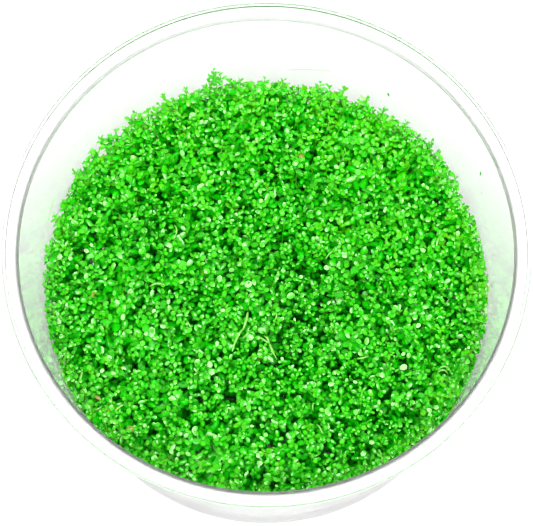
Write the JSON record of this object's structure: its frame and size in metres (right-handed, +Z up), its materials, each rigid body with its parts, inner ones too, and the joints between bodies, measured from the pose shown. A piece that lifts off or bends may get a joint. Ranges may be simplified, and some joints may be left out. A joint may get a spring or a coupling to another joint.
{
  "type": "dwarf baby tears in cup",
  "caption": "Clear tapered plastic culture cup, open at the top, with a carpet of tiny bright green aquarium plants rooted in clear growth gel.",
  "frame": {"origin": "centre of the foot ring, on the surface that the cup stands on", "axes": "+Z up along the cup's axis; the picture looks along +Y and down"},
  "size_m": [0.105, 0.105, 0.0575],
  "materials": {
    "clear_plastic": "clear, colourless and glossy, thin-walled",
    "growth_gel": "clear gel with a trace of white haze, moist",
    "foliage": "soft leaf gloss, bright green, paler stems"
  },
  "bodies": {
    "root": {"cup": "clear_plastic", "gel": "growth_gel", "plant_mat": "foliage"}
  },
  "joints": []
}
